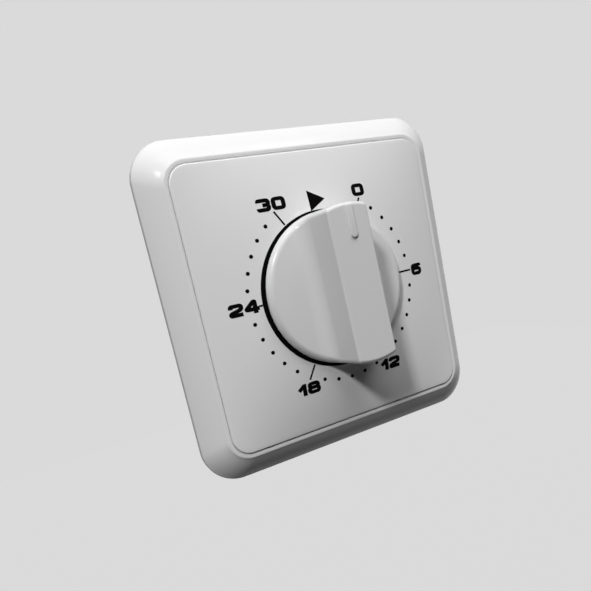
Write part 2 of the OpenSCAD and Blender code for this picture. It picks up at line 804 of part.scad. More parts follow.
// Pinion cut on its own arbor, with a pivot at each end
module pinion(p, mid_z, phase) {
    row_frame() color(steel) at(p) {
        translate([0, 0, mid_z - pinion_len / 2]) linear_extrude(pinion_len)
            polygon(tooth_points(pinion_leaves, phase));
        train_arbor();
    }
}

module train_arbor() {
    shake = 0.1;
    disc(train_arbor_r, front_in_z - shake, front_in_z - back_in_z - 2 * shake);
    disc(pivot_r, -2 * shake, -back_out_z - 4 * shake);
}

module train_wheel(p, top, teeth) {
    row_frame() color(brass) at(p, top - wheel_h) linear_extrude(wheel_h)
        crossed_wheel(teeth, 4, train_arbor_r + seat_fit);
}

module second_pinion() { pinion(second_at, great_mid_z, second_phase); }

module second_wheel() { train_wheel(second_at, second_top_z, second_teeth); }

module third_pinion() { pinion(third_at, second_mid_z, third_phase); }

module third_wheel() { train_wheel(third_at, third_top_z, third_teeth); }

module escape_pinion() { pinion(escape_at, third_mid_z, escape_phase); }

module escape_wheel() {
    pitch = 360 / escape_teeth;
    tooth_h = 1.3;
    rim = 0.8;
    eye_wall = 1.2;
    arm_w = 0.9;
    root = escape_r - tooth_h;
    points = [for (i = [0 : escape_teeth - 1])
        each [polar(root, i * pitch), polar(escape_r, i * pitch + 1), polar(escape_r, i * pitch + 3),
            polar(root, i * pitch + pitch * 0.45)]];
    row_frame() color(brass) at(escape_at, escape_top_z - wheel_h) linear_extrude(wheel_h) difference() {
        polygon(points);
        difference() {
            circle(root - rim);
            circle(train_arbor_r + eye_wall);
            for (i = [0 : 2]) rotate(i * 120) translate([0, -arm_w / 2]) square([root, arm_w]);
        }
        circle(train_arbor_r + seat_fit);
    }
}

// Pallet lever with two pins that straddle the escape wheel
pallet_pin_r = 0.3;
pallet_spread = 38;
pallet_clear = 0.75;
pallet_pin_ring = escape_r + pallet_pin_r + pallet_clear;
lever_t = 0.8;
lever_gap = 0.3;
lever_boss_r = 1.5;
lever_tip_r = 0.6;
lever_h = deep(lever_t);
lever_room = deep(lever_gap);
lever_top_z = escape_top_z + lever_h + lever_room;
function pallet_pin_at(s) = escape_at + polar(pallet_pin_ring, pallet_bearing + s * pallet_spread);
module pallet_arbor() { row_frame() color(steel) at(pallet_at) train_arbor(); }

module pallet_lever() {
    row_frame() color(steel) {
        translate([0, 0, lever_top_z - lever_h]) linear_extrude(lever_h) difference() {
            for (s = [-1, 1]) hull() {
                translate(pallet_at) circle(lever_boss_r);
                translate(pallet_pin_at(s)) circle(lever_tip_r);
            }
            translate(pallet_at) circle(train_arbor_r + seat_fit);
        }
        for (s = [-1, 1]) at(pallet_pin_at(s))
            disc(pallet_pin_r, lever_top_z - lever_h + eps, wheel_h + lever_room);
    }
}

module balance_ring() {
    rim = 1;
    drop = 0.4;
    top = second_top_z - deep(drop);
    row_frame() color(brass) at(pallet_at, top - wheel_h) linear_extrude(wheel_h) difference() {
        circle(balance_r);
        difference() {
            circle(balance_r - rim);
            circle(train_arbor_r + rim);
            square([2 * balance_r, rim], center = true);
        }
        circle(train_arbor_r + seat_fit);
    }
}

// Switch cam with the lug that meets the stop pin at both ends of the travel
module switch_cam() {
    lug_from = stop_pin_angle - pin_half_angle - lug_angle;
    notch_half = hump_half + notch_room;
    row_frame() color(ivory) difference() {
        union() {
            translate([0, 0, cam_end_z]) linear_extrude(cam_h) difference() {
                circle(cam_r, $fn = 96);
                rotate(270) translate([cam_r - cam_notch, -notch_half]) square([cam_r, 2 * notch_half]);
            }
            translate([0, 0, stop_end_z]) linear_extrude(stop_layer + eps) {
                circle(cam_hub_r);
                polygon([[0, 0], polar(stop_lug_r, lug_from), polar(stop_lug_r, lug_from + lug_angle / 2),
                    polar(stop_lug_r, lug_from + lug_angle)]);
            }
        }
        disc(arbor_r + seat_fit, cam_top_z + eps, cam_h + stop_layer + 2 * eps);
    }
}

module stop_pin() {
    top = back_in_z - tenon_shy;
    row_frame() color(steel) at(polar(stop_pin_ring, stop_pin_angle)) disc(stop_pin_r, top, top - stop_end_z);
}

module cam_circlip() {
    mouth = 0.7 * arbor_d;
    row_frame() color(steel) translate([0, 0, stop_end_z - clip_ring_t + seat_fit])
        linear_extrude(clip_ring_t - 2 * seat_fit) difference() {
            circle(arbor_r + circlip_w);
            circle(arbor_r - groove_depth + seat_fit);
            translate([0, -mouth / 2]) square([arbor_d, mouth]);
        }
}

module blade_run(points) {
    translate([0, 0, cam_end_z + blade_inset]) linear_extrude(blade_h) polygon(points);
}

module moving_blade() {
    root_x = blade_t - terminal_x - terminal_w / 2;
    xs = [root_x, -hump_half, -hump_half / 2, hump_half / 2, hump_half, blade_tip_x];
    lifts = [0, 0, hump_h, hump_h, 0, 0];
    low = [for (i = [0 : len(xs) - 1]) [xs[i], blade_low_y + lifts[i]]];
    high = [for (i = [len(xs) - 1 : -1 : 0]) [xs[i], blade_top_y + lifts[i]]];
    row_frame() color(copper) blade_run(concat(low, high));
}

module rivet_at(y) {
    translate([rivet_x, y, cam_end_z + cam_h / 2]) rotate([90, 0, 0]) cylinder(r = rivet_r, h = rivet_h);
}

module moving_rivet() { row_frame() color(steel) rivet_at(blade_low_y); }

module fixed_blade() {
    tab_low_y = fixed_top_y - tab_len;
    row_frame() color(copper) blade_run([
        [fixed_tip_x, fixed_top_y], [terminal_in_x, fixed_top_y], [terminal_in_x, tab_low_y],
        [terminal_in_x - blade_t, tab_low_y], [terminal_in_x - blade_t, fixed_top_y - blade_t],
        [fixed_tip_x, fixed_top_y - blade_t]]);
}

module fixed_rivet() { row_frame() color(steel) rivet_at(fixed_top_y + rivet_h); }

module terminal(side) {
    row_frame() color(brass) translate([side * terminal_x, terminal_mid_y, 0]) difference() {
        translate([-terminal_w / 2, -terminal_h / 2, floor_z]) cube([terminal_w, terminal_h, terminal_len]);
        disc(wire_r, terminal_top_z - wire_stop, terminal_len - wire_stop + eps);
        translate([0, 0, clamp_z]) rotate([90, 0, 0]) cylinder(r = clamp_r + seat_fit, h = terminal_h);
    }
}

module line_terminal() { terminal(1); }

module load_terminal() { terminal(-1); }

module terminal_screws() {
    reach = terminal_h / 2 - wire_r - clamp_nose;
    row_frame() color(steel) for (s = [-1, 1])
        translate([s * terminal_x, terminal_low_y, clamp_z]) rotate([90, 0, 0]) difference() {
            union() {
                cylinder(r = clamp_head_r, h = clamp_head_h);
                translate([0, 0, -reach]) cylinder(r = clamp_r, h = reach + eps);
            }
            translate([-clamp_head_r, -clamp_slot_w / 2, clamp_head_h - clamp_slot_h])
                cube([2 * clamp_head_r, clamp_slot_w, clamp_slot_h + eps]);
        }
}

cover_frame();
centre_plate();
rotary_knob();
knob_clip();
plate_nut();
support_ring();
ring_screws();
housing();
front_plate();
bush();
back_plate();
pillars();
plate_screws();
winding_arbor();
mainspring();
spring_post();
ratchet_wheel();
click();
click_spring();
great_wheel();
second_pinion();
second_wheel();
third_pinion();
third_wheel();
escape_pinion();
escape_wheel();
pallet_arbor();
pallet_lever();
balance_ring();
switch_cam();
stop_pin();
cam_circlip();
moving_blade();
moving_rivet();
fixed_blade();
fixed_rivet();
line_terminal();
load_terminal();
terminal_screws();
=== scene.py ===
"""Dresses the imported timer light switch: smooth mouldings, the printed dial, finishes, studio and camera.

Sizes in the classes are millimetres in the wall's own frame: x right, y up, z out of the wall.
"""

import json
import logging
import math
from collections.abc import Callable
from dataclasses import dataclass
from enum import Enum
from itertools import product

import bpy
import numpy as np
from mathutils import Matrix, Vector


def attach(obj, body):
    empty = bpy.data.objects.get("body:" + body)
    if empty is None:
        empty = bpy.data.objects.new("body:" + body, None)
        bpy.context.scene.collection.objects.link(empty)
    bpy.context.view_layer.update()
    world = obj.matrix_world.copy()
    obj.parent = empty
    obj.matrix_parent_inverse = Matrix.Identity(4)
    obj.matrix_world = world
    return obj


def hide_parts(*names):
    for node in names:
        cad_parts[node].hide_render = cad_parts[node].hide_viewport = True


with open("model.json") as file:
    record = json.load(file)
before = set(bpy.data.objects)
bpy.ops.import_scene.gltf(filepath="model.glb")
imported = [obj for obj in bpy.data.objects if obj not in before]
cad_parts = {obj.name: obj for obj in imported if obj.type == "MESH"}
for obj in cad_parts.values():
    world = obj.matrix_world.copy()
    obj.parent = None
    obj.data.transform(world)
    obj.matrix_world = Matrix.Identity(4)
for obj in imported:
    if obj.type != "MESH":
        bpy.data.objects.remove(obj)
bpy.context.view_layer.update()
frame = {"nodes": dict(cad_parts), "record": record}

MM = 0.001
PHOTO_SIDE = 591

# Short names for the types that the hints use
Flat = tuple[float, float]
Place = tuple[float, float, float]
Field = Callable[[np.ndarray], np.ndarray]
Row = tuple[float, float, float | Field]
Mesh = tuple[np.ndarray, list]
Tree, Node, Socket = bpy.types.NodeTree, bpy.types.Node, bpy.types.NodeSocket
Piece, Material = bpy.types.Object, bpy.types.Material

log = logging.getLogger("timer_switch")


class Grain(Enum):
    """How a surface was made, as the stretch of its fine texture along each axis."""

    EVEN = (1.0, 1.0, 1.0)
    BRUSHED = (0.03, 1.0, 1.0)
    TURNED = (1.0, 0.04, 1.0)
    ROLLED = (1.0, 1.0, 0.05)


class Glyph(Enum):
    """Centre lines of the dial's plain figures in a unit box; a closed run repeats its first point."""

    ZERO = (((0.5, 0), (1, 0), (1, 1), (0, 1), (0, 0), (0.5, 0)),)
    ONE = (((1, -0.2), (1, 1.2)), ((0.9, 0.98), (-0.1, 0.48)))
    TWO = (((0, 0.70), (0.02, 1), (1, 1), (1, 0.55), (0, 0.24), (0, 0), (1.1, 0)),)
    THREE = (((0, 0.80), (0, 1), (1, 1), (1, 0.5), (0.42, 0.5)),
             ((0.42, 0.5), (1, 0.5), (1, 0), (0, 0), (0, 0.20)))
    FOUR = (((0.80, -0.2), (0.80, 1.2), (-0.15, 0.26), (1.2, 0.26)),)
    SIX = (((1, 0.84), (1, 1), (0, 1), (0, 0), (1, 0), (1, 0.58), (0.1, 0.58)),)
    EIGHT = (((0.5, 0), (1, 0), (1, 0.53), (0, 0.53), (0, 0), (0.5, 0)),
             ((0.5, 0.53), (0.95, 0.53), (0.95, 1), (0.05, 1), (0.05, 0.53), (0.5, 0.53)))


# The dial's numbers, each with the place of its middle on the plate
FIGURES = (((Glyph.THREE, Glyph.ZERO), (-11.80, 21.85)), ((Glyph.ZERO,), (11.80, 22.02)),
           ((Glyph.SIX,), (25.28, -0.22)), ((Glyph.ONE, Glyph.TWO), (11.80, -22.28)),
           ((Glyph.ONE, Glyph.EIGHT), (-12.25, -22.12)), ((Glyph.TWO, Glyph.FOUR), (-23.72, 0.16)))


def to_row(points: np.ndarray | Place) -> np.ndarray:
    """Turns wall-frame millimetres into the part's frame: metres, y into the wall and z up."""
    p = np.asarray(points, float)
    return np.stack([p[..., 0], -p[..., 2], p[..., 1]], axis=-1) * MM


def put(name: str, data: bpy.types.ID) -> Piece:
    """Links a new object at the origin and logs its mesh.

    Args:
        name: the object's name.
        data: its mesh, lamp or camera.

    Returns:
        The object.
    """
    made = bpy.data.objects.new(name, data)
    bpy.context.scene.collection.objects.link(made)
    if isinstance(data, bpy.types.Mesh) and len(data.vertices):
        log.info("%s: %d vertices, %d faces", name, len(data.vertices), len(data.polygons))
    return made


def new_piece(name: str, points: np.ndarray, faces: list, material: Material,
              sharp_deg: float | None = 40.0) -> Piece:
    """Makes a smooth-shaded mesh object at the origin.

    Args:
        name: the piece's name.
        points: vertices in wall-frame millimetres.
        faces: vertex numbers of each face, counter-clockwise from outside.
        material: the finish of the whole piece.
        sharp_deg: edges that turn more than this stay sharp; None keeps all smooth.

    Returns:
        The piece.
    """
    mesh = bpy.data.meshes.new(name)
    mesh.from_pydata(to_row(points).tolist(), [], faces)
    mesh.validate()
    mesh.shade_smooth()
    if sharp_deg is not None:
        mesh.set_sharp_from_angle(angle=math.radians(sharp_deg))
    mesh.materials.append(material)
    return put(name, mesh)


def band(low: np.ndarray, high: np.ndarray) -> list:
    """Quads between two closed loops of vertex numbers, the second one further along the section."""
    return np.column_stack([low, np.roll(low, -1), np.roll(high, -1), high]).tolist()


def feed(tree: Tree, node: Node, feeds: dict[str | int, object]) -> Node:
    """Links sockets to a node's inputs and sets the plain values.

    Args:
        tree: the node tree.
        node: the node.
        feeds: a socket or a plain value for each input, by the input's name or number.

    Returns:
        The node.
    """
    for key, value in feeds.items():
        if isinstance(value, Socket):
            tree.links.new(value, node.inputs[key])
        else:
            node.inputs[key].default_value = value
    return node


def add(tree: Tree, kind: str, feeds: dict[str | int, object]) -> Node:
    """Adds a node of the given type and feeds its inputs."""
    return feed(tree, tree.nodes.new(kind), feeds)


def calc(tree: Tree, operation: str, first: Socket | float, second: Socket | float = 0.0) -> Socket:
    """Adds one Math node.

    Args:
        tree: the node tree.
        operation: the Math node's operation.
        first: a socket or a number.
        second: a socket or a number.

    Returns:
        The node's output.
    """
    node = add(tree, "ShaderNodeMath", {0: first, 1: second})
    node.operation = operation
    return node.outputs[0]


def noise(tree: Tree, vector: Socket, scale: Socket | float, detail: float = 2.0) -> Socket:
    """Adds a noise texture with the given octaves and returns its value."""
    feeds = {"Vector": vector, "Scale": scale, "Detail": detail}
    return add(tree, "ShaderNodeTexNoise", feeds).outputs[0]


def object_place(tree: Tree) -> Socket:
    """Adds Object coordinates, which every pattern is read at."""
    return tree.nodes.new("ShaderNodeTexCoord").outputs["Object"]


def grey(tone: float) -> tuple[float, float, float, float]:
    """An opaque grey."""
    return tone, tone, tone, 1.0


@dataclass(frozen=True)
class SurfaceGroup:
    """A shader group that several finishes share: fine marks, broad clouds and an uneven gloss."""

    name: str
    cloud_detail: float
    noise_middle: float = 0.5

    def tree(self) -> Tree:
        """Builds the group, or finds it where another finish has built it.

        Returns:
            The group, which puts out Tone, Roughness and Height.
        """
        if self.name in bpy.data.node_groups:
            return bpy.data.node_groups[self.name]
        tree = bpy.data.node_groups.new(self.name, "ShaderNodeTree")
        tree.interface.new_socket("Vector", in_out="INPUT", socket_type="NodeSocketVector")
        for key in ("Fine Scale", "Cloud Scale", "Fine", "Cloud", "Gloss", "Gloss Spread"):
            tree.interface.new_socket(key, in_out="INPUT", socket_type="NodeSocketFloat")
        for key in ("Tone", "Roughness", "Height"):
            tree.interface.new_socket(key, in_out="OUTPUT", socket_type="NodeSocketFloat")
        given = tree.nodes.new("NodeGroupInput").outputs
        fine = noise(tree, given["Vector"], given["Fine Scale"])
        cloud = noise(tree, given["Vector"], given["Cloud Scale"], self.cloud_detail)
        ripple = calc(tree, "SUBTRACT", fine, self.noise_middle)
        swing = calc(tree, "SUBTRACT", cloud, self.noise_middle)
        marks = calc(tree, "ADD", calc(tree, "MULTIPLY", ripple, given["Fine"]),
                     calc(tree, "MULTIPLY", swing, given["Cloud"]))
        tone = calc(tree, "ADD", marks, 1.0)
        gloss = calc(tree, "ADD", calc(tree, "MULTIPLY", swing, given["Gloss Spread"]), given["Gloss"])
        add(tree, "NodeGroupOutput", {"Tone": tone, "Roughness": gloss, "Height": fine})
        return tree


MOULDED_SKIN = SurfaceGroup("moulded_skin", cloud_detail=3.0)
TOOLING_MARKS = SurfaceGroup("tooling_marks", cloud_detail=4.0)


@dataclass(frozen=True)
class Finish:
    """One finish of the part: its colour, its gloss and the marks its making left."""

    name: str
    colour: tuple[float, float, float]
    grain: Grain
    roughness: float
    spread: float = 0.06
    tone_swing: float = 0.02
    bump: float = 0.04
    fine_scale: float = 900.0
    cloud_scale: float = 45.0
    specular: float = 0.5
    line_share: float = 0.8
    bump_depth: float = 0.1

    def material(self) -> Material:
        """Builds the finish as a node material on Object coordinates, or finds it where it was built.

        Returns:
            The material.
        """
        if self.name in bpy.data.materials:
            return bpy.data.materials[self.name]
        made = bpy.data.materials.new(self.name)
        made.use_nodes = True
        tree = made.node_tree
        metal = self.grain is not Grain.EVEN
        place = add(tree, "ShaderNodeMapping", {"Vector": object_place(tree), "Scale": self.grain.value})
        group = tree.nodes.new("ShaderNodeGroup")
        group.node_tree = (TOOLING_MARKS if metal else MOULDED_SKIN).tree()
        feed(tree, group, {
            "Vector": place.outputs["Vector"], "Gloss": self.roughness, "Gloss Spread": self.spread,
            "Fine Scale": self.fine_scale, "Fine": self.line_share * self.tone_swing if metal else 0.0,
            "Cloud Scale": self.cloud_scale, "Cloud": self.tone_swing})
        tint = tree.nodes.new("ShaderNodeMix")
        tint.data_type = "RGBA"
        tint.blend_type = "MULTIPLY"
        feed(tree, tint, {"Factor": 1.0, "A": (*self.colour, 1.0), "B": group.outputs["Tone"]})
        bump = add(tree, "ShaderNodeBump", {
            "Strength": self.bump, "Distance": self.bump_depth * MM, "Height": group.outputs["Height"]})
        feed(tree, tree.nodes["Principled BSDF"], {
            "Base Color": tint.outputs["Result"], "Metallic": float(metal),
            "Roughness": group.outputs["Roughness"], "Specular IOR Level": self.specular,
            "Normal": bump.outputs["Normal"]})
        return made


WHITE = Finish("gloss_white_moulding", (0.782, 0.782, 0.782), Grain.EVEN, 0.21, spread=0.04,
               tone_swing=0.015, specular=0.11)
KNOB_WHITE = Finish("satin_white_moulding", (0.694, 0.694, 0.694), Grain.EVEN, 0.24, spread=0.05,
                    tone_swing=0.015, bump=0.06, fine_scale=1400.0, specular=0.3)
# The frame's rim: unpolished, and darker than the moulding as painted shade on the rim wall
UNPOLISHED_FOOT_PAINTED_SHADE = Finish("unpolished_foot_painted_shade", (0.60, 0.60, 0.60), Grain.EVEN, 0.75, spread=0.08,
                    tone_swing=0.05, bump=0.20, fine_scale=1800.0, specular=0.0)
INK = Finish("dial_ink", (0.003, 0.003, 0.0033), Grain.EVEN, 0.48, spread=0.10, tone_swing=0.30, bump=0.10,
             fine_scale=3000.0, specular=0.01)
# Finishes by record slot; a slot that isn't here keeps the plain material that the frame loads for it
SLOT_FINISHES = {
    "white_plastic": WHITE,
    "cam_plastic": Finish("natural_cam_moulding", (0.72, 0.69, 0.60), Grain.EVEN, 0.40, tone_swing=0.06,
                          bump=0.06),
    "zinc_steel": Finish("zinc_plated_steel", (0.62, 0.64, 0.66), Grain.ROLLED, 0.34, spread=0.22,
                         tone_swing=0.16, bump=0.10, fine_scale=1800.0, cloud_scale=260.0),
    "bright_steel": Finish("bright_turned_steel", (0.60, 0.60, 0.61), Grain.TURNED, 0.22, spread=0.14,
                           tone_swing=0.10, bump=0.08, fine_scale=3000.0, cloud_scale=200.0),
    "spring_steel": Finish("blued_spring_steel", (0.16, 0.18, 0.24), Grain.BRUSHED, 0.28, spread=0.14,
                           tone_swing=0.24, bump=0.06, fine_scale=2600.0, cloud_scale=220.0),
    "brass": Finish("rolled_brass", (0.72, 0.50, 0.20), Grain.BRUSHED, 0.26, spread=0.18,
                    tone_swing=0.16, bump=0.08, fine_scale=2600.0, cloud_scale=240.0),
}


@dataclass(frozen=True)
class RingLoft:
    """A closed moulding lofted through rings round the middle, from rounded squares to circles."""

    side_count: int = 18
    corner_count: int = 30
    corner_from: float = 38.5

    def angles(self) -> np.ndarray:
        """Angles of a ring's points, closer together round the corners.

        Returns:
            The angles, in radians.
        """
        side = np.linspace(0.0, self.corner_from, self.side_count, endpoint=False)
        corner = np.linspace(self.corner_from, 90.0 - self.corner_from, self.corner_count)
        quarter = np.concatenate([side, corner, 90.0 - side[:0:-1]])
        return np.radians(np.concatenate([quarter + 90.0 * q for q in range(4)]))

    def outline(self, half: float, radius: float) -> np.ndarray:
        """Points of a rounded square seen from its middle.

        Args:
            half: half of its width.
            radius: its corner radius; equal to half, it is a circle.

        Returns:
            An array of (x, y).
        """
        turn = self.angles()
        folded = np.minimum(turn % (np.pi / 2), np.pi / 2 - turn % (np.pi / 2))
        flat = half - radius
        along = flat * (np.cos(folded) + np.sin(folded))
        arc = along + np.sqrt(np.maximum(along ** 2 - 2 * flat ** 2 + radius ** 2, 0.0))
        reach = np.where(half * np.tan(folded) <= flat, half / np.cos(folded), arc)
        return np.stack([reach * np.cos(turn), reach * np.sin(turn)], axis=-1)

    def close(self, section: list[Row]) -> Mesh:
        """Carries a section round the middle and joins its last ring to its first.

        Args:
            section: half width, corner radius and height of each ring, from the outer foot up and over;
                a height is a number or a function of the ring's (x, y) points.

        Returns:
            The vertices and the faces.
        """
        rings = []
        for half, radius, height in section:
            flat = self.outline(half, radius)
            z = height(flat) if callable(height) else np.full(len(flat), height)
            rings.append(np.column_stack([flat, z]))
        points = np.vstack(rings)
        loops = np.arange(len(points)).reshape(len(rings), -1)
        pairs = zip(loops, np.roll(loops, -1, axis=0))
        return points, [quad for low, high in pairs for quad in band(low, high)]


@dataclass
class CoverFrame:
    """The square cover frame: an upright rim, a broad bevel and a rounded lip round the plate's well."""

    half: float = 40.0
    corner_r: float = 9.1
    well_half: float = 33.25
    well_r: float = 4.6
    lip_z: float = 6.5
    lip_r: float = 0.8
    lip_inner_r: float = 0.35
    rim_z: float = 1.6
    crown: float = 0.3
    rim_round: float = 0.45
    foot_round: float = 0.2
    wall: float = 1.6
    foot_z: float = 1.2
    under_z: float = 4.32
    least_under_z: float = 0.3
    foot_steps: int = 4
    arc_steps: int = 6
    bevel_steps: int = 12
    lip_steps: int = 7

    def section(self) -> list[Row]:
        """The frame's section, from the wall up the rim and bevel, over the lip and down the well.

        Returns:
            Half width, corner radius and z of each ring.
        """
        lip_mid = self.well_half + self.lip_r
        lip_end = lip_mid + self.lip_r * math.cos(math.pi / 4)
        lip_end_z = self.lip_z - self.lip_r * (1 - math.sin(math.pi / 4))
        bend = math.atan2(lip_end_z - self.rim_z, self.half - lip_end)
        turn = math.pi / 2 - bend
        rim_mid = self.half - self.rim_round
        rim_mid_z = self.rim_z - self.rim_round * math.tan(turn / 2)
        bevel = rim_mid + self.rim_round * math.cos(turn)
        bevel_z = rim_mid_z + self.rim_round * math.sin(turn)
        rows: list[Row] = []
        for a in np.radians(np.linspace(-90, 0, self.foot_steps)):
            rows.append((self.half - self.foot_round * (1 - math.cos(a)), self.corner_r,
                         self.foot_round * (1 + math.sin(a))))
        for a in np.linspace(0, turn, self.arc_steps):
            rows.append((rim_mid + self.rim_round * math.cos(a), self.corner_r,
                         rim_mid_z + self.rim_round * math.sin(a)))
        for t in np.linspace(0, 1, self.bevel_steps)[1:-1]:
            bulge = 4 * self.crown * t * (1 - t)
            rows.append((bevel + (lip_end - bevel) * t + bulge * math.sin(bend),
                         self.corner_r + (self.well_r + 2 * self.lip_r - self.corner_r) * t,
                         bevel_z + (lip_end_z - bevel_z) * t + bulge * math.cos(bend)))
        for a in np.radians(np.linspace(45, 90, self.arc_steps)):
            rows.append((lip_mid + self.lip_r * math.cos(a), self.well_r + self.lip_r * (1 + math.cos(a)),
                         self.lip_z - self.lip_r * (1 - math.sin(a))))
        for a in np.radians(np.linspace(90, 180, self.lip_steps)):
            inset = self.lip_inner_r * (1 + math.cos(a))
            rows.append((self.well_half + inset, self.well_r + inset,
                         self.lip_z - self.lip_inner_r * (1 - math.sin(a))))
        leg, leg_r = self.well_half + self.wall, self.well_r + self.wall
        inside, inside_r = self.half - self.wall, self.corner_r - self.wall
        slope = (lip_end_z - self.rim_z) / (self.half - lip_end)
        inside_z = max(self.least_under_z, self.under_z - slope * (inside - leg))
        return rows + [(self.well_half, self.well_r, self.foot_z), (leg, leg_r, self.foot_z),
                       (leg, leg_r, self.under_z), (inside, inside_r, inside_z), (inside, inside_r, 0.0)]

    def build(self, loft: RingLoft) -> None:
        """Makes the frame in place of its CAD node, its rim unpolished and a darker grey that is painted
        shade on the rim wall.

        Args:
            loft: the ring maker.
        """
        piece = new_piece("cover_frame_moulding", *loft.close(self.section()), WHITE.material())
        piece.data.materials.append(UNPOLISHED_FOOT_PAINTED_SHADE.material())
        # The rim bands take the unpolished finish whose darker grey is painted shade on the rim wall
        rim_bands = self.foot_steps + self.arc_steps - 1
        for face in piece.data.polygons[:rim_bands * len(loft.angles())]:
            face.material_index = 1
        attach(piece, "root")
        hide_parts("cover_frame")


@dataclass
class CentrePlate:
    """The domed square plate that carries the minute scale."""

    half: float = 33.22
    corner_r: float = 4.55
    edge_z: float = 6.85
    rise: float = 2.35
    power: float = 2.8
    edge_r: float = 0.4
    edge_deg: float = 80.0
    wall: float = 2.0
    foot_z: float = 1.2
    skirt_r: float = 3.35
    flange_r: float = 10.8
    flange_z: float = 3.0
    seat_z: float = 5.0
    seat_r: float = 9.2
    bore_r: float = 5.15
    edge_steps: int = 8
    dome_steps: int = 26
    under_steps: int = 8

    def height(self, flat: np.ndarray) -> np.ndarray:
        """Height of the dome at each (x, y)."""
        share = 1 - np.minimum(1.0, np.abs(np.asarray(flat)[..., :2]) / self.half) ** self.power
        return self.edge_z + self.rise * share[..., 0] * share[..., 1]

    def section(self) -> list[Row]:
        """The plate's section, from its skirt over the dome to the nut's seat and back under.

        Returns:
            Half width, corner radius and height of each ring.
        """
        span, span_r = self.half - self.edge_r, self.corner_r - self.edge_r
        skirt = self.half - self.wall
        rows: list[Row] = [(self.half, self.corner_r, self.foot_z)]
        for a in np.radians(np.linspace(0, self.edge_deg, self.edge_steps)):
            rows.append((span + self.edge_r * math.cos(a), span_r + self.edge_r * math.cos(a),
                         lambda p, a=a: self.height(p) - self.edge_r * (1 - math.sin(a))))
        for t in np.linspace(0, 1, self.dome_steps):
            rows.append((span + (self.seat_r - span) * t, span_r + (self.seat_r - span_r) * t, self.height))
        rows += [(self.seat_r, self.seat_r, self.seat_z), (self.bore_r, self.bore_r, self.seat_z),
                 (self.bore_r, self.bore_r, self.flange_z), (self.flange_r, self.flange_r, self.flange_z)]
        for t in np.linspace(1, 0, self.under_steps):
            rows.append((skirt + (self.flange_r - skirt) * t,
                         self.skirt_r + (self.flange_r - self.skirt_r) * t,
                         lambda p: self.height(p) - self.wall))
        return rows + [(skirt, self.skirt_r, self.foot_z)]

    def build(self, loft: RingLoft) -> None:
        """Makes the plate in place of its CAD node.

        Args:
            loft: the ring maker.
        """
        piece = new_piece("centre_plate_moulding", *loft.close(self.section()), WHITE.material())
        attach(piece, "root")
        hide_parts("centre_plate")


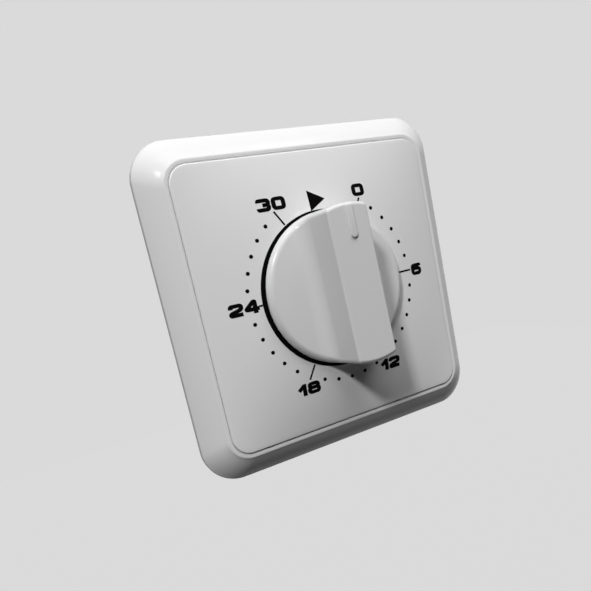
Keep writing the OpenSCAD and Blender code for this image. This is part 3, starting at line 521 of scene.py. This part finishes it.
@dataclass
class MarkTree:
    """Geometry Nodes tree that sets marks round the dial and lays them on the plate's dome."""

    plate: CentrePlate
    proud: float
    sunk: float
    bar_cuts: int = 9
    dot_sides: int = 20

    def build(self, bar: bool) -> Tree:
        """Builds the tree, or finds it where other marks have built it.

        Args:
            bar: True for radial bars, False for round dots.

        Returns:
            The tree, with its sizes as named inputs in metres, degrees and counts.
        """
        name = "minute_bars" if bar else "minute_dots"
        if name in bpy.data.node_groups:
            return bpy.data.node_groups[name]
        tree = bpy.data.node_groups.new(name, "GeometryNodeTree")
        inputs = {"Int": ("Count", "Skip Every", "Skip From"), "Material": ("Finish",),
                  "Float": ("First Angle", "Step Angle", "Inner Radius", "Outer Radius", "Mark Width")}
        for kind, keys in inputs.items():
            for key in keys:
                tree.interface.new_socket(key, in_out="INPUT", socket_type="NodeSocket" + kind)
        tree.interface.new_socket("Geometry", in_out="OUTPUT", socket_type="NodeSocketGeometry")
        given = tree.nodes.new("NodeGroupInput").outputs
        index = tree.nodes.new("GeometryNodeInputIndex").outputs[0]
        degrees = calc(tree, "MULTIPLY", index, given["Step Angle"])
        turn = calc(tree, "RADIANS", calc(tree, "ADD", degrees, given["First Angle"]))
        both = calc(tree, "ADD", given["Inner Radius"], given["Outer Radius"])
        reach = calc(tree, "MULTIPLY", both, 0.5)
        spot = add(tree, "ShaderNodeCombineXYZ", {
            "X": calc(tree, "MULTIPLY", reach, calc(tree, "SINE", turn)),
            "Z": calc(tree, "MULTIPLY", reach, calc(tree, "COSINE", turn))})
        line = add(tree, "GeometryNodeMeshLine", {"Count": given["Count"]})
        placed = add(tree, "GeometryNodeSetPosition", {
            "Geometry": line.outputs["Mesh"], "Position": spot.outputs[0]})
        number = calc(tree, "SUBTRACT", index, given["Skip From"])
        place = calc(tree, "FLOORED_MODULO", number, given["Skip Every"])
        way = add(tree, "ShaderNodeCombineXYZ", {"Y": turn})
        marks = add(tree, "GeometryNodeInstanceOnPoints", {
            "Points": placed.outputs[0], "Selection": calc(tree, "GREATER_THAN", place, 0.5),
            "Instance": self._mark(tree, given, bar), "Rotation": way.outputs[0]})
        real = add(tree, "GeometryNodeRealizeInstances", {"Geometry": marks.outputs[0]})
        laid = add(tree, "GeometryNodeSetPosition", {
            "Geometry": real.outputs[0], "Offset": self._lift(tree)})
        inked = add(tree, "GeometryNodeSetMaterial", {
            "Geometry": laid.outputs[0], "Material": given["Finish"]})
        add(tree, "NodeGroupOutput", {"Geometry": inked.outputs[0]})
        return tree

    def _mark(self, tree: Tree, given: bpy.types.NodeOutputs, bar: bool) -> Socket:
        """One mark lying flat: a thin bar along the radius, or a thin disc.

        Args:
            tree: the node tree.
            given: the tree's inputs.
            bar: True for a bar.

        Returns:
            The mark's geometry.
        """
        thick = (self.proud + self.sunk) * MM
        if bar:
            length = calc(tree, "SUBTRACT", given["Outer Radius"], given["Inner Radius"])
            size = add(tree, "ShaderNodeCombineXYZ", {"X": given["Mark Width"], "Y": thick, "Z": length})
            cube = add(tree, "GeometryNodeMeshCube", {"Size": size.outputs[0], "Vertices Z": self.bar_cuts})
            return cube.outputs["Mesh"]
        disc = add(tree, "GeometryNodeMeshCylinder", {
            "Radius": calc(tree, "MULTIPLY", given["Mark Width"], 0.5), "Vertices": self.dot_sides,
            "Depth": thick})
        return add(tree, "GeometryNodeTransform", {
            "Geometry": disc.outputs["Mesh"], "Rotation": (math.pi / 2, 0, 0)}).outputs[0]

    def _lift(self, tree: Tree) -> Socket:
        """Offset that carries a flat mark out to the dome.

        Args:
            tree: the node tree.

        Returns:
            The offset vector.
        """
        here = tree.nodes.new("GeometryNodeInputPosition").outputs[0]
        split = add(tree, "ShaderNodeSeparateXYZ", {"Vector": here})
        shares = []
        for axis in ("X", "Z"):
            part = calc(tree, "DIVIDE", calc(tree, "ABSOLUTE", split.outputs[axis]), self.plate.half * MM)
            shares.append(calc(tree, "SUBTRACT", 1.0, calc(tree, "POWER", part, self.plate.power)))
        dome = calc(tree, "MULTIPLY", calc(tree, "MULTIPLY", *shares), -self.plate.rise * MM)
        level = -(self.plate.edge_z + (self.proud - self.sunk) / 2) * MM
        return add(tree, "ShaderNodeCombineXYZ", {"Y": calc(tree, "ADD", dome, level)}).outputs[0]


@dataclass
class DialPrint:
    """The minute scale printed on the plate: dots, ticks, a ring, a triangle and plain figures."""

    plate: CentrePlate
    minutes: int = 30
    tick_minutes: int = 6
    short_tick: int = 4
    first_angle: float = 30.0
    step_angle: float = 10.0
    pitch_r: float = 22.4
    dot_d: float = 0.94
    tick_w: float = 0.44
    tick_in: float = 19.3
    tick_out: float = 23.2
    short_tick_out: float = 20.15
    # The ring's inner edge lies under the knob, so its black there is painted shade in the gap beneath the
    # knob
    ring_in: float = 17.75
    ring_out: float = 18.96
    ring_at: Flat = (-0.30, -0.02)
    ring_points: int = 256
    triangle_corners: tuple[Flat, Flat, Flat] = ((-2.16, 18.77), (2.15, 21.22), (-2.21, 23.67))
    triangle_steps: int = 8
    figure_w: float = 2.45
    one_w: float = 1.40
    figure_h: float = 2.12
    figure_gap: float = 0.22
    upright_w: float = 1.09
    level_w: float = 0.88
    figure_round: float = 0.62
    round_steps: int = 8
    line_step: float = 0.4
    least_step: float = 1e-4
    end_gap: float = 0.05
    proud: float = 0.03
    sunk: float = 0.10
    sharp_deg: float = 30.0

    def marks(self, name: str, bar: bool, values: dict[str, float]) -> None:
        """Runs the mark tree and keeps its result as a plain mesh.

        Args:
            name: the piece's name.
            bar: True for ticks, False for dots.
            values: the tree's inputs by name.
        """
        tree = MarkTree(self.plate, self.proud, self.sunk).build(bar)
        carrier = put(name + "_carrier", bpy.data.meshes.new(name + "_carrier"))
        modifier = carrier.modifiers.new("marks", "NODES")
        modifier.node_group = tree
        ids = {item.name: item.identifier for item in tree.interface.items_tree if item.in_out == "INPUT"}
        for key, value in values.items():
            modifier[ids[key]] = value
        modifier[ids["Finish"]] = INK.material()
        carrier.update_tag()
        graph = bpy.context.evaluated_depsgraph_get()
        mesh = bpy.data.meshes.new_from_object(carrier.evaluated_get(graph), depsgraph=graph)
        carrier.modifiers.remove(modifier)
        bpy.data.objects.remove(carrier)
        mesh.name = name
        piece = put(name, mesh)
        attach(piece, "root")

    def film(self, name: str, points: np.ndarray, faces: list) -> None:
        """Makes a printed piece of a closed film."""
        piece = new_piece(name, points, faces, INK.material(), self.sharp_deg)
        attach(piece, "root")

    def shell(self, flat: np.ndarray, faces: list, loops: list) -> Mesh:
        """Thickens a flat patch into a thin closed film on the dome.

        Args:
            flat: the patch's (x, y) points.
            faces: its faces, counter-clockwise from the front.
            loops: its boundaries as point numbers, the patch on the left.

        Returns:
            The film's vertices and faces.
        """
        z, count = self.plate.height(flat), len(flat)
        points = np.vstack([np.column_stack([flat, level]) for level in (z + self.proud, z - self.sunk)])
        both = faces + [[i + count for i in reversed(face)] for face in faces]
        for loop in loops:
            both += [[a, a + count, b + count, b] for a, b in zip(loop, loop[1:] + loop[:1])]
        return points, both

    def strip(self, left: np.ndarray, right: np.ndarray, closed: bool) -> Mesh:
        """A film between two lines of the same count.

        Args:
            left: the line on the left of the run.
            right: the line on its right.
            closed: True where the last points join the first.

        Returns:
            The film's vertices and faces.
        """
        count = len(left)
        runs = range(count if closed else count - 1)
        faces = [[i, i + count, (i + 1) % count + count, (i + 1) % count] for i in runs]
        near, far = [*reversed(range(count))], [*range(count, 2 * count)]
        return self.shell(np.vstack([left, right]), faces, [near, far] if closed else [far + near])

    def ribbon(self, line: np.ndarray, closed: bool) -> Mesh:
        """A printed stroke along a centre line, wider on uprights than on level runs.

        Args:
            line: the centre line's points.
            closed: True where the last point joins the first.

        Returns:
            The stroke's vertices and faces.
        """
        along = (np.roll(line, -1, 0) - np.roll(line, 1, 0)) if closed else np.gradient(line, axis=0)
        along /= np.linalg.norm(along, axis=1)[:, None]
        side = np.stack([-along[:, 1] * self.upright_w, along[:, 0] * self.level_w], axis=-1) / 2
        return self.strip(line + side, line - side, closed)

    def rounded(self, run: np.ndarray, closed: bool) -> np.ndarray:
        """Rounds the corners of a run and spaces its points evenly enough to follow the dome.

        Args:
            run: the corner points; a closed run repeats its first point.
            closed: True for a closed run.

        Returns:
            The points of the rounded line.
        """
        out = [run[0]]
        for before, here, after in zip(run[:-2], run[1:-1], run[2:]):
            back, on = before - here, after - here
            back_len, on_len = np.linalg.norm(back), np.linalg.norm(on)
            room = min(self.figure_round, 0.5 * back_len, 0.5 * on_len)
            start, end = here + back / back_len * room, here + on / on_len * room
            for t in np.linspace(0, 1, self.round_steps):
                out.append((1 - t) ** 2 * start + 2 * t * (1 - t) * here + t ** 2 * end)
        if not closed:
            out.append(run[-1])
        line = [out[0]]
        for point in out[1:]:
            gap = np.linalg.norm(point - line[-1])
            if gap < self.least_step:
                continue
            steps = max(1, math.ceil(gap / self.line_step))
            line += [line[-1] + (point - line[-1]) * (k + 1) / steps for k in range(steps)]
        if closed and np.allclose(line[0], line[-1], atol=self.end_gap):
            line.pop()
        return np.array(line)

    def figures(self) -> None:
        """Prints the six numbers beside the ticks."""
        points, faces, base = [], [], 0
        gap = self.upright_w + self.figure_gap
        for glyphs, (mid_x, mid_y) in FIGURES:
            widths = [self.one_w if glyph is Glyph.ONE else self.figure_w for glyph in glyphs]
            start = mid_x - (sum(widths) + gap * (len(widths) - 1)) / 2
            for glyph, width in zip(glyphs, widths):
                for stroke in glyph.value:
                    unit = np.array(stroke, float) - (0.0, 0.5)
                    run = unit * (width, self.figure_h) + (start, mid_y)
                    closed = bool(np.allclose(run[0], run[-1]))
                    made, quads = self.ribbon(self.rounded(run, closed), closed)
                    points.append(made)
                    faces += [[i + base for i in quad] for quad in quads]
                    base += len(made)
                start += width + gap
        self.film("dial_figures", np.vstack(points), faces)

    def ring(self) -> None:
        """Prints the black ring round the knob; the part that runs under its edge is painted shade in the
        gap beneath the knob.
        """
        turn = np.linspace(0, 2 * np.pi, self.ring_points, endpoint=False)
        way = np.stack([np.cos(turn), np.sin(turn)], axis=-1)
        inner, outer = way * self.ring_in + self.ring_at, way * self.ring_out + self.ring_at
        self.film("dial_ring", *self.strip(inner, outer, True))

    def triangle(self) -> None:
        """Prints the filled triangle at the top that marks the rest position."""
        first, second, third = np.array(self.triangle_corners)
        steps = self.triangle_steps
        index, flat, faces = {}, [], []
        for i in range(steps + 1):
            for j in range(steps + 1 - i):
                index[i, j] = len(flat)
                flat.append(first + (second - first) * i / steps + (third - first) * j / steps)
        for i in range(steps):
            for j in range(steps - i):
                faces.append([index[i, j], index[i + 1, j], index[i, j + 1]])
                if i + j < steps - 1:
                    faces.append([index[i + 1, j], index[i + 1, j + 1], index[i, j + 1]])
        edge = ([index[i, 0] for i in range(steps)] + [index[steps - j, j] for j in range(steps)]
                + [index[0, j] for j in range(steps, 0, -1)])
        self.film("dial_triangle", *self.shell(np.array(flat), faces, [edge]))

    def build(self) -> None:
        """Prints the whole scale."""
        half_dot = self.dot_d / 2
        dots = {
            "Count": self.minutes + 1, "First Angle": self.first_angle, "Step Angle": self.step_angle,
            "Inner Radius": (self.pitch_r - half_dot) * MM, "Outer Radius": (self.pitch_r + half_dot) * MM,
            "Mark Width": self.dot_d * MM, "Skip Every": self.tick_minutes, "Skip From": 0}
        ticks, tick_angle = self.minutes // self.tick_minutes + 1, self.tick_minutes * self.step_angle
        long_ticks = dots | {
            "Count": ticks, "Step Angle": tick_angle, "Inner Radius": self.tick_in * MM,
            "Outer Radius": self.tick_out * MM, "Mark Width": self.tick_w * MM, "Skip Every": ticks,
            "Skip From": self.short_tick}
        short_tick = long_ticks | {
            "Count": 1, "First Angle": self.first_angle + self.short_tick * tick_angle,
            "Outer Radius": self.short_tick_out * MM, "Skip From": 1}
        self.marks("dial_dots", False, dots)
        self.marks("dial_ticks", True, long_ticks)
        self.marks("dial_short_tick", True, short_tick)
        self.ring()
        self.triangle()
        self.figures()


@dataclass
class SurfaceNet:
    """Turns a distance function into a closed mesh whose points lie on its surface."""

    low: Place
    high: Place
    pitch: float = 0.27
    pulls: int = 6
    pull_limit: float = 0.2
    least_slope: float = 0.2
    probe: float = 0.004

    def mesh(self, distance: Field) -> tuple[np.ndarray, list, np.ndarray]:
        """Walks the grid and pulls each point onto the surface.

        Args:
            distance: a function of an array of points, negative inside.

        Returns:
            Vertices, quads and outward normals.
        """
        axes = [np.arange(a, b + self.pitch, self.pitch) for a, b in zip(self.low, self.high)]
        grid = np.stack(np.meshgrid(*axes, indexing="ij"), axis=-1)
        value = distance(grid)
        cells = tuple(n - 1 for n in value.shape)
        total, hits = np.zeros((*cells, 3)), np.zeros(cells)
        for axis, one, two in product(range(3), (0, 1), (0, 1)):
            start = [one, two]
            start.insert(axis, 0)
            end = [s + (k == axis) for k, s in enumerate(start)]
            near = tuple(slice(s, s + n) for s, n in zip(start, cells))
            far = tuple(slice(s, s + n) for s, n in zip(end, cells))
            a, b = value[near], value[far]
            cross = (a < 0) != (b < 0)
            share = np.where(cross, a / np.where(a == b, 1.0, a - b), 0.0)[..., None]
            total += np.where(cross[..., None], grid[near] + (grid[far] - grid[near]) * share, 0.0)
            hits += cross
        active = hits > 0
        number = np.full(cells, -1)
        number[active] = np.arange(int(active.sum()))
        points = total[active] / hits[active][:, None]
        quads = np.vstack([self._quads(value, number, axis) for axis in range(3)]).tolist()
        for _ in range(self.pulls):
            slope = self.slope(distance, points)
            pull = np.clip(distance(points), -self.pull_limit, self.pull_limit)[:, None] * slope
            points = points - pull / np.maximum((slope ** 2).sum(1), self.least_slope)[:, None]
        slope = self.slope(distance, points)
        return points, quads, slope / np.linalg.norm(slope, axis=1)[:, None]

    @staticmethod
    def _quads(value: np.ndarray, number: np.ndarray, axis: int) -> np.ndarray:
        """Faces across the grid edges that run along one axis.

        Args:
            value: distances at the grid's points.
            number: vertex number of each cell.
            axis: the edges' direction.

        Returns:
            An array of quads, counter-clockwise from outside.
        """
        order = (axis, (axis + 1) % 3, (axis + 2) % 3)
        inside, cell = value.transpose(order) < 0, number.transpose(order)
        a, b = inside[:-1, 1:-1, 1:-1], inside[1:, 1:-1, 1:-1]
        ring = np.stack([cell[:, :-1, :-1], cell[:, 1:, :-1], cell[:, 1:, 1:], cell[:, :-1, 1:]], axis=-1)
        return np.vstack([ring[a & ~b], ring[b & ~a][:, ::-1]])

    def slope(self, distance: Field, points: np.ndarray) -> np.ndarray:
        """Gradient of the distance by central differences.

        Args:
            distance: the function.
            points: where to take it.

        Returns:
            The gradient at each point.
        """
        steps = np.eye(3) * self.probe
        parts = [(distance(points + step) - distance(points - step)) / (2 * self.probe) for step in steps]
        return np.stack(parts, axis=-1)


@dataclass
class RotaryKnob:
    """The knob: a low disc with a full-width grip bar, a soft cove at its foot and a raised pointer."""

    radius: float = 18.35
    draft_deg: float = 2.2
    base_z: float = 9.136
    disc_z: float = 10.986
    top_z: float = 21.4
    bar_half: float = 5.1
    bar_draft: float = 0.8
    cove_r: float = 3.3
    rim_r: float = 1.5
    end_r: float = 0.9
    blend_from: float = 0.2
    blend_len: float = 3.0
    bar_edge_r: float = 0.45
    foot_r: float = 0.25
    relief_z: float = 9.55
    rim_w: float = 1.3
    room_half: float = 3.5
    room_len: float = 30.0
    room_z: float = 19.6
    room_side_r: float = 0.8
    room_top_r: float = 0.6
    hub_r: float = 4.6
    hub_lap: float = 0.3
    hub_fillet: float = 0.3
    bore_r: float = 3.02
    bore_flat: float = 2.8
    bore_z: float = 18.6
    pointer_w: float = 1.7
    pointer_at: float = 0.45
    pointer_from: float = 10.05
    pointer_to: float = 17.3
    pointer_h: float = 0.4
    pointer_root: float = 0.25
    pointer_soft: float = 0.22
    pointer_end: float = 0.3
    pointer_steps: int = 24
    flare: float = 0.06
    flare_h: float = 0.08
    soft_degs: tuple[int, ...] = (0, 25, 50, 70, 90)
    pointer_sharp_deg: float = 55.0
    set_deg: float = 1.4
    set_at: Place = (0.10, 0.14, 0.0)
    side_margin: float = 0.8
    end_margin: float = 0.7

    @staticmethod
    def join(a: np.ndarray, b: np.ndarray, r: float | np.ndarray) -> np.ndarray:
        """Union of two solids with a round fillet of radius r."""
        return np.maximum(r, np.minimum(a, b)) - np.hypot(np.maximum(r - a, 0), np.maximum(r - b, 0))

    @staticmethod
    def meet(a: np.ndarray, b: np.ndarray, r: float | np.ndarray) -> np.ndarray:
        """Intersection of two solids with a rounded edge of radius r."""
        return np.minimum(-r, np.maximum(a, b)) + np.hypot(np.maximum(r + a, 0), np.maximum(r + b, 0))

    def distance(self, points: np.ndarray) -> np.ndarray:
        """Signed distance to the knob's moulding.

        Args:
            points: array of (x, y, z).

        Returns:
            The distance, negative inside.
        """
        x, y, z = points[..., 0], points[..., 1], points[..., 2]
        r = np.hypot(x, y)
        tilt = math.radians(self.draft_deg)
        side = (r - self.radius + (z - self.base_z) * math.tan(tilt)) * math.cos(tilt)
        lean = self.bar_draft / (self.top_z - self.disc_z)
        cheek = np.abs(x) - self.bar_half - lean * (self.top_z - z)
        bar = self.meet(cheek, z - self.top_z, self.bar_edge_r)
        upper = self.join(z - self.disc_z, bar, self.cove_r)
        climb = np.clip((z - self.disc_z - self.blend_from) / self.blend_len, 0.0, 1.0)
        rounding = self.rim_r + (self.end_r - self.rim_r) * climb * climb * (3 - 2 * climb)
        solid = self.meet(self.meet(upper, side, rounding), self.base_z - z, self.foot_r)
        relief = np.maximum(r - self.radius + self.rim_w, z - self.relief_z)
        room = self.meet(np.abs(x) - self.room_half, np.abs(y) - self.room_len / 2, self.room_side_r)
        room = self.meet(room, z - self.room_z, self.room_top_r)
        solid = np.maximum(np.maximum(solid, -relief), -room)
        hub = np.maximum(np.maximum(r - self.hub_r, z - self.room_z - self.hub_lap), self.relief_z - z)
        bore = np.maximum(np.maximum(r - self.bore_r, x - self.bore_flat), z - self.bore_z)
        return np.maximum(self.join(solid, hub, self.hub_fillet), -bore)

    def set_round(self, points: np.ndarray) -> np.ndarray:
        """Turns points counter-clockwise by the small angle at which the knob rests off its mark."""
        c, s = math.cos(math.radians(self.set_deg)), math.sin(math.radians(self.set_deg))
        return np.asarray(points) @ np.array([[c, s, 0.0], [-s, c, 0.0], [0.0, 0.0, 1.0]])

    def seat(self, points: np.ndarray) -> np.ndarray:
        """Puts points where the knob sits on its shaft, turned and slightly aside."""
        return self.set_round(points) + self.set_at

    def build(self) -> None:
        """Makes the moulding in place of its CAD node, with the pointer on it."""
        edge = self.radius + self.side_margin
        low, high = self.base_z - self.end_margin, self.top_z + self.end_margin
        net = SurfaceNet((-edge, -edge, low), (edge, edge, high))
        points, quads, normals = net.mesh(self.distance)
        piece = new_piece("rotary_knob_moulding", self.seat(points), quads, KNOB_WHITE.material(), None)
        outward = to_row(self.set_round(normals)) / MM
        piece.data.normals_split_custom_set_from_vertices(outward.tolist())
        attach(piece, "dial_shaft")
        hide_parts("rotary_knob")
        self.pointer()

    def pointer(self) -> None:
        """Makes the raised rib on the bar that points at the scale."""
        half, soft = self.pointer_w / 2, self.pointer_soft
        end_r = self.pointer_end * half
        turn = np.linspace(0, np.pi, self.pointer_steps)
        inner = np.stack([-half * np.cos(turn), self.pointer_from + half - half * np.sin(turn)], axis=-1)
        outer = np.stack([half * np.cos(turn), self.pointer_to - end_r + end_r * np.sin(turn)], axis=-1)
        middle = (0.0, (self.pointer_from + self.pointer_to) / 2)
        reach = np.vstack([inner, outer]) - middle
        levels = [(-self.flare, -self.pointer_root), (-self.flare, 0.0), (0.0, self.flare_h)]
        for a in np.radians(self.soft_degs):
            levels.append((soft * (1 - math.cos(a)), self.pointer_h - soft * (1 - math.sin(a))))
        rings = []
        for inset, height in levels:
            step = np.copysign(np.minimum(np.abs(reach), abs(inset)), inset)
            flat = reach - np.sign(reach) * step + middle + (self.pointer_at, 0.0)
            rings.append(np.column_stack([flat, np.full(len(flat), self.top_z + height)]))
        points = np.vstack(rings)
        loops = np.arange(len(points)).reshape(len(rings), -1)
        faces = [quad for low, high in zip(loops, loops[1:]) for quad in band(low, high)]
        faces += [loops[0][::-1].tolist(), loops[-1].tolist()]
        finish = KNOB_WHITE.material()
        piece = new_piece("pointer_rib", self.seat(points), faces, finish, self.pointer_sharp_deg)
        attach(piece, "dial_shaft")


class Internals:
    """The CAD nodes; those inside, from the support ring to the contacts, keep their own meshes."""

    def dress(self) -> None:
        """Gives each node the finish of its record slot, where that slot has one."""
        slots = {entry["node"]: entry["material_slot"] for entry in frame["record"]["subparts"]}
        for name, node in frame["nodes"].items():
            finish = SLOT_FINISHES.get(slots[name])
            if finish is not None:
                node.data.materials.clear()
                node.data.materials.append(finish.material())
            log.info("%s: %s", name, finish.name if finish else "as loaded")


@dataclass(frozen=True)
class Lamp:
    """A rectangular softbox that faces the switch, its sides in metres."""

    name: str
    at: Place
    sides: Flat
    watts: float

    def build(self) -> None:
        """Hangs the lamp in its place."""
        data = bpy.data.lights.new(self.name, "AREA")
        data.shape = "RECTANGLE"
        data.size, data.size_y = self.sides
        data.energy = self.watts
        place = Vector(to_row(self.at))
        lamp = put(self.name, data)
        lamp.location = place
        lamp.rotation_euler = (-place).to_track_quat("-Z", "Y").to_euler()


LAMPS = (Lamp("key", (-486.0, 556.0, 517.0), (0.10, 0.10), 4.45),
         Lamp("overhead", (80.0, 730.0, 325.0), (0.80, 0.40), 5.75),
         Lamp("rear_left", (-60.0, 330.0, -580.0), (0.30, 0.30), 1.4),
         Lamp("rear_right", (260.0, 200.0, -520.0), (0.30, 0.30), 1.6))


@dataclass
class Studio:
    """Pale floor, soft lamps and the camera at the photograph's angle."""

    camera_at: Place = (-59.7, 5.82, 116.6)
    camera_right: Place = (0.88568, -0.21317, 0.41246)
    camera_down: Place = (-0.26019, -0.96365, 0.06068)
    focal_px: float = 501.3
    shift_px: float = 60.0
    sensor: float = 36.0
    clip_near: float = 5.0
    clip_far: float = 20000.0
    fill: float = 0.02
    backdrop: float = 0.70
    floor_z: float = -1500.0
    floor_half: float = 6000.0
    floor_tone: float = 0.14
    floor_swing: float = 0.02
    floor_rough: float = 0.8
    floor_speck: float = 60.0
    floor_glow: float = 0.9

    def camera(self) -> None:
        """Sets the camera where the photograph was taken from."""
        data = bpy.data.cameras.new("camera")
        data.sensor_width = self.sensor
        data.sensor_fit = "HORIZONTAL"
        data.lens = self.focal_px / PHOTO_SIDE * self.sensor
        data.shift_y = self.shift_px / PHOTO_SIDE
        data.clip_start, data.clip_end = self.clip_near * MM, self.clip_far * MM
        right = Vector(to_row(self.camera_right)).normalized()
        up = -Vector(to_row(self.camera_down)).normalized()
        back = right.cross(up).normalized()
        up = back.cross(right)
        turn = Matrix((right, up, back)).transposed().to_4x4()
        camera = put("camera", data)
        camera.matrix_world = Matrix.Translation(Vector(to_row(self.camera_at))) @ turn
        bpy.context.scene.camera = camera

    def seen(self, tree: Tree) -> Socket:
        """One for rays that show the background: from the camera, in gloss and through glass.

        Args:
            tree: the node tree.

        Returns:
            The socket with the value.
        """
        path = tree.nodes.new("ShaderNodeLightPath").outputs
        rays = calc(tree, "MAXIMUM", path["Is Camera Ray"], path["Is Glossy Ray"])
        return calc(tree, "MAXIMUM", rays, path["Is Transmission Ray"])

    def world(self) -> None:
        """A plain grey backdrop over a weak even fill."""
        world = bpy.data.worlds.new("studio")
        world.use_nodes = True
        tree = world.node_tree
        fill = feed(tree, tree.nodes["Background"], {"Color": grey(1.0), "Strength": self.fill})
        wall = add(tree, "ShaderNodeBackground", {"Color": grey(self.backdrop)})
        mix = add(tree, "ShaderNodeMixShader", {
            "Fac": self.seen(tree), 1: fill.outputs[0], 2: wall.outputs[0]})
        feed(tree, tree.nodes["World Output"], {"Surface": mix.outputs[0]})
        bpy.context.scene.world = world

    def floor(self) -> None:
        """A wide pale floor well below the switch, seen in the backdrop's own tone."""
        half, z = self.floor_half * MM, self.floor_z * MM
        corners = [(-half, -half, z), (half, -half, z), (half, half, z), (-half, half, z)]
        mesh = bpy.data.meshes.new("floor")
        mesh.from_pydata(corners, [], [(0, 1, 2, 3)])
        material = bpy.data.materials.new("pale_floor")
        material.use_nodes = True
        tree = material.node_tree
        tone = add(tree, "ShaderNodeMapRange", {
            "Value": noise(tree, object_place(tree), self.floor_speck),
            "To Min": self.floor_tone - self.floor_swing, "To Max": self.floor_tone + self.floor_swing})
        shade = feed(tree, tree.nodes["Principled BSDF"], {
            "Base Color": tone.outputs[0], "Roughness": self.floor_rough})
        glow = add(tree, "ShaderNodeEmission", {"Color": grey(self.backdrop / self.floor_glow)})
        mix = add(tree, "ShaderNodeMixShader", {
            "Fac": calc(tree, "MULTIPLY", self.seen(tree), self.floor_glow),
            1: shade.outputs[0], 2: glow.outputs[0]})
        feed(tree, tree.nodes["Material Output"], {"Surface": mix.outputs[0]})
        mesh.materials.append(material)
        floor = put("floor", mesh)

    def build(self) -> None:
        """Sets up the camera, the lamps, the backdrop and the floor."""
        bpy.context.scene.view_settings.view_transform = "Standard"
        self.camera()
        for lamp in LAMPS:
            lamp.build()
        self.world()
        self.floor()


def main() -> None:
    """Builds and dresses every piece, then the studio."""
    logging.basicConfig(level=logging.INFO, format="%(message)s")
    loft = RingLoft()
    Internals().dress()
    CoverFrame().build(loft)
    plate = CentrePlate()
    plate.build(loft)
    DialPrint(plate).build()
    RotaryKnob().build()
    Studio().build()


if __name__ == "__main__":
    main()
